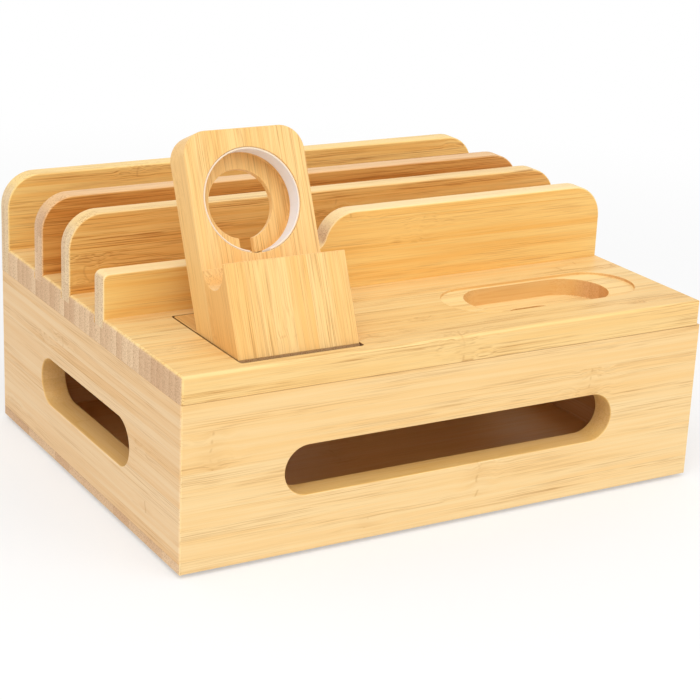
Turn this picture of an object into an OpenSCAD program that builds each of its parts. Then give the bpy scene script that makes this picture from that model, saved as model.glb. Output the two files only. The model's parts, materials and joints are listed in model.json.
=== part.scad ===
// Desktop charging station organizer in laminated bamboo: a box for a power strip and its
// leads, a lift-off lid with upright dividers and an earbud recess, and a lift-out watch stand.
// +Z is up, the front looks along -Y, and the origin is under the middle of the box.

/* [Box] */
// Width of the box
box_w = 330; // [280:1:400]
// Depth of the box, front to rear
box_d = 252; // [248:1:320]
// Height of the box from its underside to the lid seam
box_h = 93; // [80:1:140]
// Thickness of the four wall boards
wall_t = 15; // [10:0.5:17]
// Thickness of the base board
base_t = 6.5; // [4:0.5:12]
// Radius of the eased outer edges of the box
edge_r = 1.6; // [0.8:0.1:3]

/* [Box slots] */
// Height of the round-ended slots
slot_h = 28; // [20:1:34]
// Height of the slot centres above the underside of the box
slot_z = 46.5; // [38:0.5:52]
// Length of the slot in the front wall
front_slot_l = 210; // [120:1:230]
// Length of the slots in the left and right walls
side_slot_l = 125; // [80:1:150]
// Length of the lead outlet in the rear wall
rear_slot_l = 110; // [60:1:200]

/* [Feet] */
// Diameter of the rubber feet
pad_d = 14; // [10:1:20]
// Thickness of the rubber feet
pad_t = 2; // [1:0.5:4]
// Distance of the foot centres from the outer faces of the box
pad_inset = 24; // [20:1:40]

/* [Lid] */
// Thickness of the lid panel
lid_t = 15; // [14:0.5:20]
// How far the lid stops short of the right end of the box
lid_short = 1.5; // [0:0.1:3]
// Radius of the rounded upper edges of the lid
lid_edge_r = 2.2; // [1:0.1:4]
// Height of the locating cleats under the lid
cleat_h = 10; // [6:1:16]
// Width of the locating cleats
cleat_w = 8; // [6:1:10]
// Clearance between the cleats and the walls of the box
cleat_gap = 1; // [0.5:0.1:2]

/* [Dividers] */
// Thickness of the dividers
divider_t = 12; // [10:0.5:13]
// How far the dividers stop short of the right end of the lid
divider_short = 2; // [0:0.5:4]
// Height of the dividers above the lid
divider_h = 45; // [30:1:70]
// Radius of the upper corners of the dividers
divider_r = 20; // [8:1:24]
// Depth of the grooves that hold the dividers
dado_depth = 5; // [3:0.5:6]
// Depth of the lid in front of the dividers
front_d = 98; // [93:0.5:102]
// Width of the front bay, between the front divider and the next
bay_front = 35.5; // [28:0.5:39]
// Width of the middle bay; the rear bay takes what is left of the depth
bay_middle = 28.5; // [22:0.5:32]
// Height above the lid of the low stretch of the front divider
low_h = 25; // [15:1:28]
// Radius of the outer corner of the low stretch
low_r = 4; // [2:0.5:10]
// Distance from the left end of the lid to the high stretch of the front divider
rise_x = 134; // [115:1:150]
// Radius of the hollow where the low stretch of the front divider meets the high one
rise_r = 7; // [3:0.5:9]

/* [Cable slots] */
// Length of the cable slots in the floors of the bays
bay_slot_l = 60; // [30:1:100]
// Width of the cable slots in the floors of the bays
bay_slot_w = 14; // [10:1:16]

/* [Earbud recess] */
// Distance from the right end of the lid to the middle of the recess
ear_from_right = 78.5; // [72:0.5:90]
// Distance from the front of the lid to the middle of the recess
ear_from_front = 50; // [36:1:60]
// Length of the shallow tray
tray_l = 126; // [112:1:130]
// Width of the shallow tray
tray_w = 47; // [46:0.5:52]
// Depth of the shallow tray
tray_depth = 1.6; // [1:0.1:3]
// Length of the deep pocket
pocket_l = 92; // [60:1:96]
// Width of the deep pocket
pocket_w = 44; // [30:0.5:45]
// Depth of the deep pocket below the lid surface
pocket_depth = 12; // [6:0.5:12]
// How far the pocket sits to the left of the middle of the tray
pocket_shift = 1.5; // [0:0.5:5]
// Length of the cable slot in the floor of the pocket
ear_slot_l = 32; // [16:1:40]
// Width of the cable slot in the floor of the pocket
ear_slot_w = 18; // [10:1:22]

/* [Watch stand] */
// Width of the stand
stand_w = 71; // [64:1:76]
// Backward tilt of the stand from the vertical, in degrees
tilt = 23; // [10:1:25]
// Distance from the left end of the box to the stand
stand_from_left = 37; // [20:0.5:44]
// Distance from the front of the box to the foot of the front block, at the lid surface
stand_from_front = 11.5; // [9:0.5:14]
// Length of the foot board at the lid surface
foot_l = 78; // [72:0.5:80]
// Thickness of the foot board, which fills the seat in the lid
foot_t = 9; // [6:0.5:10]
// Clearance around the foot board in its seat
foot_gap = 0.8; // [0.4:0.1:1.2]
// Radius of the upright corners of the foot board
foot_r = 2; // [1:0.5:6]
// Thickness of the tilted back plate
plate_t = 19; // [17:0.5:22]
// Length of the front face of the back plate, from the lid surface to its top
plate_l = 111; // [107:1:140]
// Radius of the upper corners of the back plate
plate_r = 14; // [6:0.5:20]
// Thickness of the front block
block_t = 26; // [24:0.5:30]
// Length of the joint face between the front block and the back plate
block_l = 38.5; // [34:0.5:42]
// Radius of the half-round trough in the front block
trough_r = 12; // [8:0.5:12]
// Ledge between the back plate and the trough
trough_ledge = 0.5; // [0.3:0.1:1.5]

/* [Charger seat] */
// Diameter of the stepped seat in the back plate
seat_d = 56.5; // [50:0.5:58]
// Depth of the seat
seat_depth = 15; // [12:0.5:17]
// Distance from the top of the back plate to the middle of the seat
seat_drop = 38.5; // [32:0.5:41]
// Diameter of the window through the back plate
window_d = 37.5; // [24:0.5:44]
// Width of the cable notch in the shoulder of the seat
notch_w = 8; // [4.5:0.5:10]
// Distance from the end of the notch to the wall of the seat
notch_end = 1; // [0.5:0.1:3]
// Wall of the split liner in the seat
liner_wall = 1; // [0.8:0.1:3]
// Depth of the split liner
liner_depth = 11; // [4:0.5:12]
// Width of the gap in the split liner
liner_split = 12; // [3:0.5:14]
// Radial clearance between the liner and the seat
liner_gap = 0.1; // [0.05:0.05:0.2]
// Diameter of the cable hole behind the back plate
lead_hole_d = 16; // [10:0.5:18]

/* [Screws] */
// Shank diameter of the wood screws
screw_d = 3.5; // [3:0.1:4]
// Head diameter of the wood screws
head_d = 7; // [6:0.1:8]
// Length of the screws that hold the base board
base_screw_l = 22; // [16:1:30]
// Length of the screws that hold the stand on its foot board
stand_screw_l = 25; // [18:1:30]
// Clearance between a screw and its hole
screw_gap = 0.05; // [0.02:0.01:0.2]

/* [Hidden] */
$fn = 96;

// Colours of the materials
bamboo = [0.95, 0.78, 0.52];
bamboo_side = [0.90, 0.72, 0.47];
bamboo_dark = [0.84, 0.60, 0.34];
white_plastic = [0.95, 0.94, 0.96];
steel = [0.72, 0.73, 0.75];
rubber = [0.15, 0.15, 0.16];

// Levels of the build, from the floor up
base_z = pad_t;
wall_z = base_z + base_t;
seam_z = base_z + box_h;
lid_z = seam_z + lid_t;
reach = 2 * (box_w + box_d);

// Footprint of the lid, flush with the left end of the box, and length of the dividers
left_x = -box_w / 2;
lid_w = box_w - lid_short;
divider_w = lid_w - divider_short;
divider_x = left_x + divider_w / 2;
panel_d = box_d - divider_t;
front_y = -box_d / 2;

// Front faces of the dividers, from the front one back
low_y = front_y + front_d;
middle_front_y = low_y + divider_t + bay_front;
middle_rear_y = middle_front_y + divider_t + bay_middle;
rear_y = box_d / 2 - divider_t;
bay_rear = rear_y - middle_rear_y - divider_t;

// Places on the lid
ear_x = left_x + lid_w - ear_from_right;
ear_y = front_y + ear_from_front;
stand_x = left_x + stand_from_left + stand_w / 2;
// Front face of the back plate at the lid surface
plate_y = front_y + stand_from_front + block_t / cos(tilt);
// Front edge of the foot board at its underside, and its rear end
foot_front = stand_from_front - foot_t * tan(tilt);
foot_rear = stand_from_front + foot_l;
seat_z = lid_z - foot_t;
plate_rear_y = plate_y + plate_t / cos(tilt);
lead_hole_y = (plate_rear_y + front_y + foot_rear) / 2;

// A flat outline in X and Z, made into a board that runs from y = 0 to y = thickness
module upright(thickness) {
    translate([0, thickness, 0])
        rotate([90, 0, 0])
            linear_extrude(thickness)
                children();
}

// A round-ended slot outline, centred, with its length along X
module slot_outline(length, width) {
    square([length - width, width], center = true);
    for (side = [-1, 1])
        translate([side * (length - width) / 2, 0])
            circle(d = width);
}

// A centred rectangle with four rounded corners
module rounded_rectangle(size_x, size_y, radius) {
    square([size_x - 2 * radius, size_y], center = true);
    square([size_x, size_y - 2 * radius], center = true);
    for (x = [-1, 1], y = [-1, 1])
        translate([x * (size_x / 2 - radius), y * (size_y / 2 - radius)])
            circle(radius);
}

// A block centred on Z with all its edges rounded, standing on z = 0
module eased_block(size_x, size_y, height, radius) {
    intersection() {
        linear_extrude(height)
            rounded_rectangle(size_x, size_y, radius);
        translate([0, -size_y / 2, height / 2])
            upright(size_y)
                rounded_rectangle(size_x, height, radius);
        translate([-size_x / 2, 0, height / 2])
            rotate([90, 0, 90])
                linear_extrude(size_x)
                    rounded_rectangle(size_y, height, radius);
    }
}

// Outer form of the box, with eased corners and underside and a crisp upper rim
module box_form() {
    translate([0, 0, base_z])
        eased_block(box_w, box_d, box_h + 2 * edge_r, edge_r);
}

// Wall board with mitred ends: length along X, outer face on y = -depth / 2
module mitred_board(length, depth) {
    translate([0, 0, wall_z])
        linear_extrude(seam_z - wall_z)
            polygon([
                [-length / 2, -depth / 2],
                [length / 2, -depth / 2],
                [length / 2 - wall_t, -depth / 2 + wall_t],
                [-length / 2 + wall_t, -depth / 2 + wall_t]
            ]);
}

// Mitred wall with its round-ended slot, cut to the eased form of the box
module slotted_wall(length, depth, slot_l) {
    difference() {
        mitred_board(length, depth);
        translate([0, -depth / 2 - 1, base_z + slot_z])
            upright(wall_t + 2)
                slot_outline(slot_l, slot_h);
    }
}

// Countersunk wood screw, head at z = 0 and point upwards; grow widens it into its hole
module wood_screw(length, grow) {
    head_h = (head_d - screw_d) / 2;
    point_h = screw_d;
    cylinder(d1 = head_d + 2 * grow, d2 = screw_d + 2 * grow, h = head_h);
    translate([0, 0, head_h])
        cylinder(d = screw_d + 2 * grow, h = length - head_h - point_h + grow);
    translate([0, 0, length - point_h + grow])
        cylinder(d1 = screw_d + 2 * grow, d2 = 1, h = point_h);
}

// The eight screws that hold the base board to the walls
module base_screw_set(grow) {
    row_x = box_w / 2 - wall_t / 2;
    row_y = box_d / 2 - wall_t / 2;
    for (side = [-1, 1], place = [-1, 1]) {
        translate([place * box_w / 4, side * row_y, base_z])
            wood_screw(base_screw_l, grow);
        translate([side * row_x, place * box_d / 4, base_z])
            wood_screw(base_screw_l, grow);
    }
}

// The screws that hold the back plate and the front block on the foot board
module stand_screw_set(grow) {
    lean = stand_screw_l / 2 * tan(tilt);
    block_row = front_y + stand_from_front + block_t / cos(tilt) / 2;
    plate_row = (plate_y + plate_rear_y) / 2;
    for (side = [-1, 1], row = [block_row, plate_row])
        translate([stand_x + side * stand_w / 4, row + lean / 2, seat_z])
            wood_screw(stand_screw_l, grow);
}

// Rubber foot in one corner of the underside
module rubber_foot(x, y) {
    color(rubber)
        translate([x * (box_w / 2 - pad_inset), y * (box_d / 2 - pad_inset), 0])
            cylinder(d = pad_d, h = pad_t);
}

module base_board() {
    color(bamboo_side)
        difference() {
            intersection() {
                box_form();
                translate([-box_w / 2, -box_d / 2, base_z])
                    cube([box_w, box_d, base_t]);
            }
            base_screw_set(screw_gap);
        }
}

module front_panel() {
    color(bamboo)
        difference() {
            intersection() {
                slotted_wall(box_w, box_d, front_slot_l);
                box_form();
            }
            base_screw_set(screw_gap);
        }
}

module rear_panel() {
    color(bamboo)
        difference() {
            intersection() {
                rotate([0, 0, 180])
                    slotted_wall(box_w, box_d, rear_slot_l);
                box_form();
            }
            base_screw_set(screw_gap);
        }
}

module left_panel() {
    color(bamboo_side)
        difference() {
            intersection() {
                rotate([0, 0, -90])
                    slotted_wall(box_d, box_w, side_slot_l);
                box_form();
            }
            base_screw_set(screw_gap);
        }
}

module right_panel() {
    color(bamboo_side)
        difference() {
            intersection() {
                rotate([0, 0, 90])
                    slotted_wall(box_d, box_w, side_slot_l);
                box_form();
            }
            base_screw_set(screw_gap);
        }
}

module base_screws() {
    color(steel)
        base_screw_set(0);
}

// Grooves in the lid for the three dividers in front of the rear one, open at the left end
module divider_grooves() {
    for (y = [low_y, middle_front_y, middle_rear_y])
        translate([left_x - 1, y, lid_z - dado_depth])
            cube([divider_w + 1, divider_t, dado_depth + 1]);
}

// Cable slots through the lid, one in the middle of each bay
module bay_slots() {
    for (y = [
        low_y + divider_t + bay_front / 2,
        middle_front_y + divider_t + bay_middle / 2,
        middle_rear_y + divider_t + bay_rear / 2
    ])
        translate([0, y, seam_z - 1])
            linear_extrude(lid_t + 2)
                slot_outline(bay_slot_l, bay_slot_w);
}

// Shallow tray, deep pocket and cable slot of the earbud recess
module ear_recess() {
    translate([ear_x, ear_y, lid_z]) {
        translate([0, 0, -tray_depth])
            linear_extrude(tray_depth + 1)
                slot_outline(tray_l, tray_w);
        translate([-pocket_shift, 0, -pocket_depth])
            linear_extrude(pocket_depth + 1)
                slot_outline(pocket_l, pocket_w);
        translate([-pocket_shift, 0, -lid_t - 1])
            linear_extrude(lid_t + 2)
                slot_outline(ear_slot_l, ear_slot_w);
    }
}

// Seat for the foot board of the stand, with the cable hole below it
module stand_seat() {
    seat_w = stand_w + 2 * foot_gap;
    seat_l = foot_rear - foot_front + 2 * foot_gap;
    translate([stand_x, front_y + (foot_rear + foot_front) / 2, seat_z])
        linear_extrude(foot_t + 1)
            rounded_rectangle(seat_w, seat_l, foot_r);
    translate([stand_x, lead_hole_y, seam_z - 1])
        cylinder(d = lead_hole_d, h = lid_t + 2);
}

module lid_panel() {
    color(bamboo)
        difference() {
            intersection() {
                translate([left_x + lid_w / 2, 0, lid_z - 2 * lid_t])
                    eased_block(lid_w, box_d, 2 * lid_t, lid_edge_r);
                translate([left_x, front_y, seam_z])
                    cube([lid_w, panel_d, lid_t]);
            }
            divider_grooves();
            bay_slots();
            ear_recess();
            stand_seat();
        }
}

// Outline of a board that stands on z = 0 and has two rounded upper corners
module rounded_top(width, height, radius) {
    translate([-width / 2, 0])
        square([width, height - radius]);
    translate([-width / 2 + radius, 0])
        square([width - 2 * radius, height]);
    for (side = [-1, 1])
        translate([side * (width / 2 - radius), height - radius])
            circle(radius);
}

// Outline of a divider that reaches the given depth below the lid surface
module divider_outline(width, depth) {
    translate([0, -depth])
        rounded_top(width, depth + divider_h, divider_r);
}

module divider_rear() {
    color(bamboo_dark)
        translate([divider_x, rear_y, lid_z])
            upright(divider_t)
                divider_outline(divider_w, lid_t);
}

module divider_middle_rear() {
    color(bamboo_dark)
        translate([divider_x, middle_rear_y, lid_z])
            upright(divider_t)
                divider_outline(divider_w, dado_depth);
}

module divider_middle_front() {
    color(bamboo_dark)
        translate([divider_x, middle_front_y, lid_z])
            upright(divider_t)
                divider_outline(divider_w, dado_depth);
}

// Outline of the front divider, low behind the stand and high to its right
module stepped_outline() {
    high_w = divider_w - rise_x;
    // The hollow touches the rounded shoulder of the high stretch, or the straight end below it
    arcs_r = divider_r + rise_r;
    shoulder_x = -divider_w / 2 + rise_x + divider_r;
    hollow_z = low_h + rise_r;
    climb = max(0, hollow_z - divider_h + divider_r);
    hollow_x = shoulder_x - sqrt(arcs_r * arcs_r - climb * climb);
    translate([rise_x / 2, 0])
        divider_outline(high_w, dado_depth);
    translate([-divider_w / 2, -dado_depth])
        square([rise_x + divider_r, dado_depth + low_h - low_r]);
    translate([-divider_w / 2 + low_r, -dado_depth])
        square([rise_x + divider_r - low_r, dado_depth + low_h]);
    translate([-divider_w / 2 + low_r, low_h - low_r])
        circle(low_r);
    difference() {
        polygon([
            [hollow_x, hollow_z],
            [hollow_x, low_h],
            [shoulder_x, low_h],
            [
                hollow_x + (shoulder_x - hollow_x) * rise_r / arcs_r,
                hollow_z - climb * rise_r / arcs_r
            ]
        ]);
        translate([hollow_x, hollow_z])
            circle(rise_r);
    }
}

module divider_front() {
    color(bamboo)
        translate([divider_x, low_y, lid_z])
            upright(divider_t)
                stepped_outline();
}

// Cleat under the lid that keeps it in place on the box
module lid_cleat(side) {
    length = box_w - 2 * (wall_t + cleat_gap);
    far_face = box_d / 2 - wall_t - cleat_gap;
    color(bamboo_side)
        translate([-length / 2, side > 0 ? far_face - cleat_w : -far_face, seam_z - cleat_h])
            cube([length, cleat_w, cleat_h]);
}

// Moves its children into the tilted frame of the stand: y into the back plate, z up its face
module on_stand() {
    translate([stand_x, plate_y, lid_z])
        rotate([-tilt, 0, 0])
            children();
}

// Everything below the given level
module below(level) {
    translate([-reach / 2, -reach / 2, level - reach])
        cube(reach);
}

// Foot board, its front edge cut in one plane with the front of the block
module stand_foot() {
    raw_front = foot_front - 2 * foot_r;
    color(bamboo)
        difference() {
            translate([stand_x, front_y + (foot_rear + raw_front) / 2, seat_z])
                linear_extrude(foot_t)
                    rounded_rectangle(stand_w, foot_rear - raw_front, foot_r);
            on_stand()
                translate([-reach / 2, -block_t - reach, -reach / 2])
                    cube(reach);
            translate([stand_x, lead_hole_y, seat_z - 1])
                cylinder(d = lead_hole_d, h = foot_t + 2);
            stand_screw_set(screw_gap);
        }
}

// Stepped round seat in the back plate, its window and the cable notch in its shoulder
module charger_seat() {
    translate([0, 0, plate_l - seat_drop]) {
        translate([0, -1, 0])
            rotate([-90, 0, 0])
                cylinder(d = seat_d, h = seat_depth + 1);
        rotate([-90, 0, 0])
            cylinder(d = window_d, h = plate_t + 1);
        translate([-notch_w / 2, seat_depth - 1, notch_end - seat_d / 2])
            cube([notch_w, plate_t, seat_d / 2 - notch_end]);
    }
}

module stand_plate() {
    color(bamboo)
        difference() {
            on_stand()
                difference() {
                    upright(plate_t)
                        rounded_top(stand_w, plate_l, plate_r);
                    charger_seat();
                }
            below(lid_z);
            stand_screw_set(screw_gap);
        }
}

module stand_block() {
    color(bamboo)
        difference() {
            on_stand()
                difference() {
                    translate([-stand_w / 2, -block_t, -block_t])
                        cube([stand_w, block_t, block_t + block_l]);
                    translate([-stand_w / 2 - 1, -trough_ledge - trough_r, block_l])
                        rotate([0, 90, 0])
                            cylinder(r = trough_r, h = stand_w + 2);
                }
            below(lid_z);
            stand_screw_set(screw_gap);
        }
}

module liner_ring() {
    liner_d = seat_d - 2 * liner_gap;
    color(white_plastic)
        on_stand()
            translate([0, 0, plate_l - seat_drop])
                difference() {
                    rotate([-90, 0, 0])
                        cylinder(d = liner_d, h = liner_depth);
                    translate([0, -1, 0])
                        rotate([-90, 0, 0])
                            cylinder(d = liner_d - 2 * liner_wall, h = liner_depth + 2);
                    translate([-liner_split / 2, -1, -liner_d])
                        cube([liner_split, liner_depth + 2, liner_d]);
                }
}

module stand_screws() {
    color(steel)
        stand_screw_set(0);
}

base_board();
front_panel();
rear_panel();
left_panel();
right_panel();
base_screws();
rubber_foot(-1, -1);  // foot_front_left
rubber_foot(1, -1);  // foot_front_right
rubber_foot(-1, 1);  // foot_rear_left
rubber_foot(1, 1);  // foot_rear_right
lid_panel();
divider_rear();
divider_middle_rear();
divider_middle_front();
divider_front();
lid_cleat(-1);  // lid_cleat_front
lid_cleat(1);  // lid_cleat_rear
stand_foot();
stand_plate();
stand_block();
liner_ring();
stand_screws();
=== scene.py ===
"""Bamboo charging station organizer: the looks of its boards, liner, screws, feet and studio."""

import json
import math
from itertools import product

import bmesh
import bpy
from bpy.props import FloatProperty, FloatVectorProperty, PointerProperty
from mathutils import Matrix, Vector

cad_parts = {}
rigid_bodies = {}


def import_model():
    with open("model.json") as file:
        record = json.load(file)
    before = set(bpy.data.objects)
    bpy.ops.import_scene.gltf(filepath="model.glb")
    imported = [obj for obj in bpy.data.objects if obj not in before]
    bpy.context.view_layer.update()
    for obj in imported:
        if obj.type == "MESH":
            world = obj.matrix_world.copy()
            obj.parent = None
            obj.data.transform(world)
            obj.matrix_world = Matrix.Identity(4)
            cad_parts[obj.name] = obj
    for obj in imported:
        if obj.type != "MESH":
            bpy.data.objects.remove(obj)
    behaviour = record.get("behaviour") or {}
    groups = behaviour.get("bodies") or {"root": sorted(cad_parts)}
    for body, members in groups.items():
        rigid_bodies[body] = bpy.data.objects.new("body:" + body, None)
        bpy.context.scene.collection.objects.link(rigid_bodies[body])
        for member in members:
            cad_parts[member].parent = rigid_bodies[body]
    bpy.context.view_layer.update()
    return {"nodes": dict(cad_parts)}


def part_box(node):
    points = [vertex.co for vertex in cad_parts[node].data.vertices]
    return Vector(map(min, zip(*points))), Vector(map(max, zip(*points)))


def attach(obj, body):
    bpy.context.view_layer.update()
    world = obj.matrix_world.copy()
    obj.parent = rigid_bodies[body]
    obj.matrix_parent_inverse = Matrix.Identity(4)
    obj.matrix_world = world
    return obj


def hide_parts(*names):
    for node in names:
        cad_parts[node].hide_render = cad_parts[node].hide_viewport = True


bl_info = {
    "name": "Bamboo Charging Station Organizer",
    "version": (1, 0, 0),
    "blender": (4, 5, 0),
    "location": "3D View > Sidebar > Organizer",
    "description": "Dresses the boards, liner, screws and feet of a charging station organizer",
    "category": "Object",
}

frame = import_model()

MM = 0.001
X = Vector((1, 0, 0))
Y = Vector((0, 1, 0))
Z = Vector((0, 0, 1))
# The watch stand leans back by this angle, and its boards' grain runs up the slope
TILT = math.radians(23)
SLOPE = Vector((0, math.sin(TILT), math.cos(TILT)))
# Middle of the earbud recess, and half its size
POCKET = Vector((85, -76, 104)) * MM
POCKET_HALF = Vector((63, 23.5, 6)) * MM
# Middle of the cable slot in the floor of the earbud pocket, and half its size
EAR_SLOT = Vector((83.5, -76, 96.5)) * MM
EAR_SLOT_HALF = Vector((16, 9, 1.5)) * MM
# Middle of the charger seat on the front face of the back plate
SEAT = Vector((-92.5, -57.926, 176.737)) * MM
SEAT_OUT = Vector((0, -math.cos(TILT), math.sin(TILT)))


def colour_property(name, description, default):
    """A colour as a user would pick it, in linear values."""
    return FloatVectorProperty(
        name=name, description=description, default=default, subtype="COLOR", min=0, max=1, size=3
    )


def length_property(name, description, default):
    """A length in metres, from nothing to a hand's width."""
    return FloatProperty(
        name=name, description=description, default=default, unit="LENGTH", min=0, max=0.1, precision=5
    )


class BambooFinish(bpy.types.PropertyGroup):
    """Colours of the laminated bamboo."""

    pale: colour_property("Pale", "Lightest strips of the front wall", (0.95, 0.73, 0.39))
    honey: colour_property("Honey", "Deeper strips of the front wall", (0.92, 0.60, 0.245))
    lid_pale: colour_property("Lid pale", "Lightest strips of the lid", (0.95, 0.72, 0.345))
    lid_honey: colour_property("Lid honey", "Deeper strips of the lid", (0.92, 0.59, 0.215))
    # Painted shade: the side walls' tones are a pinker, darker copy of the front wall's, for the shade on the side
    # faces
    side_pale_and_shade: colour_property("Side pale", "Lightest strips of the side walls", (0.95, 0.71, 0.42))
    side_honey_and_shade: colour_property("Side honey", "Deeper strips of the side walls", (0.87, 0.55, 0.25))
    stand_pale: colour_property("Stand pale", "Lightest strips of the watch stand", (0.92, 0.61, 0.25))
    stand_honey: colour_property("Stand honey", "Deeper strips of the watch stand", (0.87, 0.50, 0.155))
    divider_pale: colour_property("Divider pale", "Lightest strips of the front divider", (0.97, 0.68, 0.24))
    divider_honey: colour_property("Divider honey", "Deeper strips of the front divider", (0.93, 0.53, 0.13))
    toasted_pale: colour_property("Toasted pale", "Lightest strips of the most toasted divider", (0.80, 0.42, 0.11))
    toasted_honey: colour_property("Toasted honey", "Deeper strips of the most toasted divider", (0.67, 0.27, 0.05))
    fibre: colour_property("Fibre", "Fine dark lines along the grain", (0.44, 0.205, 0.05))
    toasted_fibre: colour_property("Toasted fibre", "Fine dark lines on the dividers", (0.40, 0.14, 0.02))
    culm: colour_property("Culm joint", "Cross marks of the culm joints", (0.55, 0.28, 0.085))
    end_pale: colour_property("End grain", "Ground of the sawn ends", (0.86, 0.62, 0.39))
    end_warm: colour_property("Warm end grain", "Darker strips on the sawn ends", (0.62, 0.38, 0.22))
    end_dark: colour_property("End dots", "Fibre bundles on the sawn ends", (0.34, 0.17, 0.08))
    # Painted shade: this colour darkens the walls of the narrow gap round the stand's foot and the seam under the lid
    painted_gap_shade: colour_property("Saw cut", "Scorched walls of narrow cuts", (0.22, 0.09, 0.02))
    # Partly painted shade: the recess walls are darker, partly as rougher milled wood and partly as painted shade
    milled_and_shaded: colour_property("Milled wall", "Rougher walls of the milled recess", (0.68, 0.33, 0.075))
    # Partly painted shade: the slot walls are a deeper orange, partly as milled wood and partly as painted shade
    slot_wall_and_shade: colour_property("Slot wall", "Milled walls of the slots in the box", (0.76, 0.44, 0.10))
    # Painted shade: this colour darkens the inside of the box and the walls of the cable slot in the earbud pocket
    inside: colour_property("Inside", "Bare wood on the inside of the box", (0.66, 0.29, 0.07))


class EdgeSizes(bpy.types.PropertyGroup):
    """Roundings of the boards' edges."""

    slot_rim: length_property("Slot rim", "Rounding of the rims of the slots", 0.0009)
    arris: length_property("Arris", "Rounding of the dividers' long edges", 0.0012)
    stand: length_property("Stand edge", "Rounding of the watch stand's edges", 0.0008)
    pocket_rim: length_property("Pocket rim", "Rounding of the rims cut into the lid", 0.0005)
    seam: length_property("Seam", "Rounding of the edges along the lid seam", 0.0004)
    foot_gap: length_property("Foot gap", "Gap round the foot board of the watch stand", 0.0008)
    wall: length_property("Wall", "Thickness of the walls of the box", 0.015)
    slot_low: length_property("Slot bottom", "Height of the lower rim of the slots in the walls", 0.0341)
    slot_high: length_property("Slot top", "Height of the upper rim of the slots in the walls", 0.0629)


class FittingSizes(bpy.types.PropertyGroup):
    """Sizes and colours of the liner, the screws and the feet."""

    liner_radius: length_property("Liner radius", "Outer radius of the split liner", 0.02815)
    liner_wall: length_property("Liner wall", "Wall of the split liner", 0.001)
    liner_depth: length_property("Liner depth", "Depth of the split liner", 0.0104)
    liner_sink: length_property("Liner sink", "How far the liner sits below the rim of its seat", 0.0005)
    # Painted shade: the liner's face turned out of the seat is painted beige, for the shade on its thin sunken rim
    liner_rim_shade: colour_property("Liner rim", "Thin rim of the liner, where the wood shows through", (0.84, 0.68, 0.50))
    liner_gap: length_property("Liner gap", "Gap between the ends of the split liner", 0.012)
    liner_colour: colour_property("Liner colour", "White moulding", (0.90, 0.90, 0.93))
    head: length_property("Screw head", "Diameter of the screw heads", 0.007)
    shank: length_property("Screw shank", "Diameter of the screw shanks", 0.0035)
    steel: colour_property("Steel", "Zinc-plated steel", (0.62, 0.63, 0.65))
    rubber: colour_property("Rubber", "Black rubber of the feet", (0.022, 0.022, 0.024))
    foot: length_property("Foot diameter", "Diameter of the rubber feet", 0.014)
    foot_height: length_property("Foot height", "Height of the rubber feet", 0.002)


class StageSettings(bpy.types.PropertyGroup):
    """The studio round the object."""

    lens: FloatProperty(name="Lens", description="Focal length", default=98.23, unit="CAMERA", min=20, max=300)
    fill: FloatProperty(name="Fill", description="Light of the surroundings", default=0.78, min=0, max=2)
    key: FloatProperty(name="Key", description="Power of the key lamp", default=15.0, unit="POWER", min=0)
    front: FloatProperty(name="Front", description="Power of the front lamp", default=6.0, unit="POWER", min=0)
    floor: colour_property("Floor", "Matt white floor", (0.90, 0.90, 0.90))


class Value:
    """A socket of a node tree that takes part in arithmetic by adding Math nodes."""

    def __init__(self, shader, socket):
        self.shader = shader
        self.socket = socket

    def maths(self, operation, *terms):
        return self.shader.node("ShaderNodeMath", {"operation": operation}, dict(enumerate(terms)))

    def __add__(self, other):
        return self.maths("ADD", self, other)

    __radd__ = __add__

    def __sub__(self, other):
        return self.maths("SUBTRACT", self, other)

    def __rsub__(self, other):
        return self.maths("SUBTRACT", other, self)

    def __mul__(self, other):
        return self.maths("MULTIPLY", self, other)

    __rmul__ = __mul__

    def __truediv__(self, other):
        return self.maths("DIVIDE", self, other)

    def floor(self):
        return self.maths("FLOOR", self)

    def fraction(self):
        return self.maths("FRACT", self)

    def size(self):
        return self.maths("ABSOLUTE", self)

    def smaller(self, other):
        return self.maths("MINIMUM", self, other)

    def larger(self, other):
        return self.maths("MAXIMUM", self, other)

    def step(self, low, high):
        """0 at or below low, 1 at or above high, smooth between; low may be the larger."""
        return self.shader.node(
            "ShaderNodeMapRange", {"interpolation_type": "SMOOTHSTEP"}, {0: self, 1: low, 2: high}
        )


class Shader:
    """The node tree of one material or world, with one way of adding nodes to it."""

    def __init__(self, owner):
        owner.use_nodes = True
        self.tree = owner.node_tree
        self.tree.nodes.clear()

    def node(self, kind, settings=None, sockets=None, out=0):
        node = self.tree.nodes.new(kind)
        for key, value in (settings or {}).items():
            setattr(node, key, value)
        for key, value in (sockets or {}).items():
            if isinstance(value, Value):
                self.tree.links.new(value.socket, node.inputs[key])
            else:
                node.inputs[key].default_value = value
        return Value(self, node.outputs[out]) if node.outputs else None

    def vector(self, x, y, z):
        return self.node("ShaderNodeCombineXYZ", None, {0: x, 1: y, 2: z})

    def along(self, place, axis):
        """How far a place lies along an axis, in millimetres."""
        scaled = tuple(axis / MM)
        return self.node("ShaderNodeVectorMath", {"operation": "DOT_PRODUCT"}, {0: place, 1: scaled}, "Value")

    def noise(self, x, y, z, detail=0.0, roughness=0.5):
        return self.node(
            "ShaderNodeTexNoise",
            {"noise_dimensions": "3D"},
            {"Vector": self.vector(x, y, z), "Scale": 1.0, "Detail": detail, "Roughness": roughness},
        )

    def facing(self, axis):
        """How squarely the surface faces along an axis, either way."""
        normal = self.node("ShaderNodeNewGeometry", None, None, "Normal")
        turned = {0: normal, 1: tuple(axis)}
        return self.node("ShaderNodeVectorMath", {"operation": "DOT_PRODUCT"}, turned, "Value").size()

    def mix(self, share, first, second):
        return self.node("ShaderNodeMix", {"data_type": "RGBA"}, {0: share, 6: first, 7: second}, 2)


def rgba(colour):
    return (*colour, 1.0)


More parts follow.
